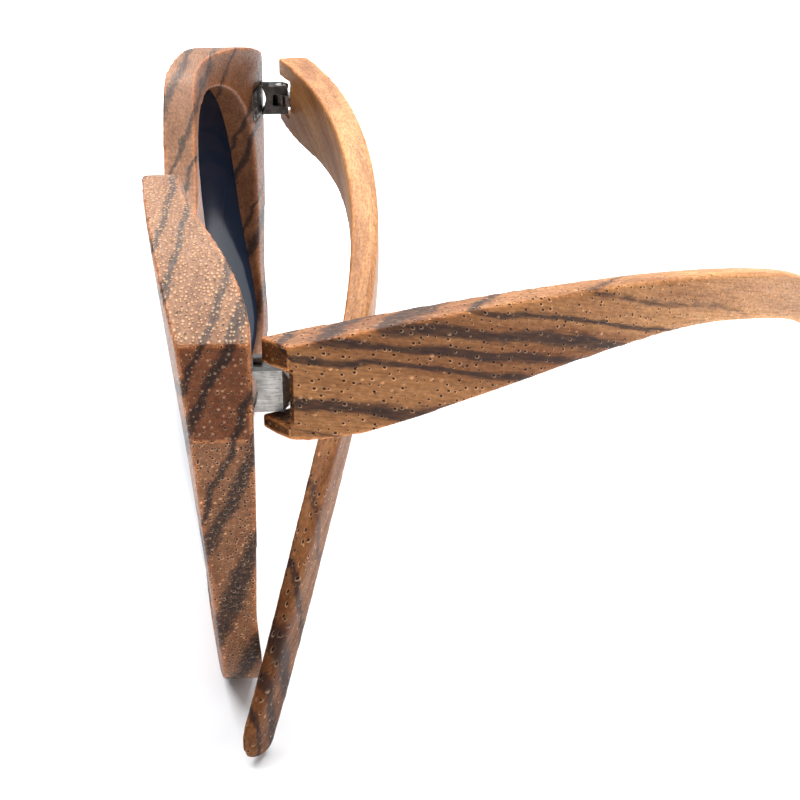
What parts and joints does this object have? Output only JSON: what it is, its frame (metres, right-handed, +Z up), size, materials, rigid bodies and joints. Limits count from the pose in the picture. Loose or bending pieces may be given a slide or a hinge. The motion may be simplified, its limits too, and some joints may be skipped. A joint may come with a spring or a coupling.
{
  "type": "wooden sunglasses",
  "caption": "Zebrawood sunglasses with tinted curved lenses in a wrapped, arched front and wooden temples on sprung steel hinges; one temple folded, one half open.",
  "frame": {"origin": "middle of the nose saddle: the underside of the bridge at the mid-plane, halfway through its thickness", "axes": "+X to the wearer's left, +Y backwards towards the ears, +Z up"},
  "size_m": [0.1414, 0.1061, 0.0564],
  "materials": {
    "zebrawood": "oiled satin, striped and porous",
    "tinted_lens": "dark blue-grey tint, polished",
    "steel": "brushed nickel silver",
    "spring_wire": "drawn wire",
    "brass": "turned"
  },
  "bodies": {
    "front": {"front_frame": "zebrawood", "left_lens": "tinted_lens", "right_lens": "tinted_lens", "left_hinge_leaf": "steel", "left_leaf_screws": "steel", "left_hinge_screw": "steel", "right_hinge_leaf": "steel", "right_leaf_screws": "steel", "right_hinge_screw": "steel"},
    "left_carriage_body": {"left_hinge_carriage": "steel", "left_spring_nut": "brass"},
    "left_temple_body": {"left_temple": "zebrawood", "left_spring_box": "steel", "left_spring_cap": "steel", "left_coil_spring": "spring_wire"},
    "right_carriage_body": {"right_hinge_carriage": "steel", "right_spring_nut": "brass"},
    "right_temple_body": {"right_temple": "zebrawood", "right_spring_box": "steel", "right_spring_cap": "steel", "right_coil_spring": "spring_wire"}
  },
  "joints": [
    {"name": "right_hinge", "type": "hinge", "parent": "front", "child": "right_carriage_body", "pos_m": [-0.0651, 0.0129, 0.00964], "axis": [0, 0, -1], "range_deg": [-83.5, 0]},
    {"name": "right_spring_slide", "type": "slide", "parent": "right_carriage_body", "child": "right_temple_body", "axis": [0.9521, 0.3057, 0], "range_m": [0, 0.0012], "stiffness_N_per_m": 1500, "springref_m": -0.0008, "deforming": ["right_coil_spring"]},
    {"name": "left_hinge", "type": "hinge", "parent": "front", "child": "left_carriage_body", "pos_m": [0.0651, 0.0129, 0.00964], "axis": [0, 0, 1], "range_deg": [-40.8, 0]},
    {"name": "left_spring_slide", "type": "slide", "parent": "left_carriage_body", "child": "left_temple_body", "axis": [-0.4924, 0.8704, 0], "range_m": [0, 0.0012], "stiffness_N_per_m": 1500, "springref_m": -0.0008, "deforming": ["left_coil_spring"]}
  ],
  "couplings": [
    {"joint": "left_hinge", "follows": "right_hinge", "ratio": 0.48862}
  ]
}
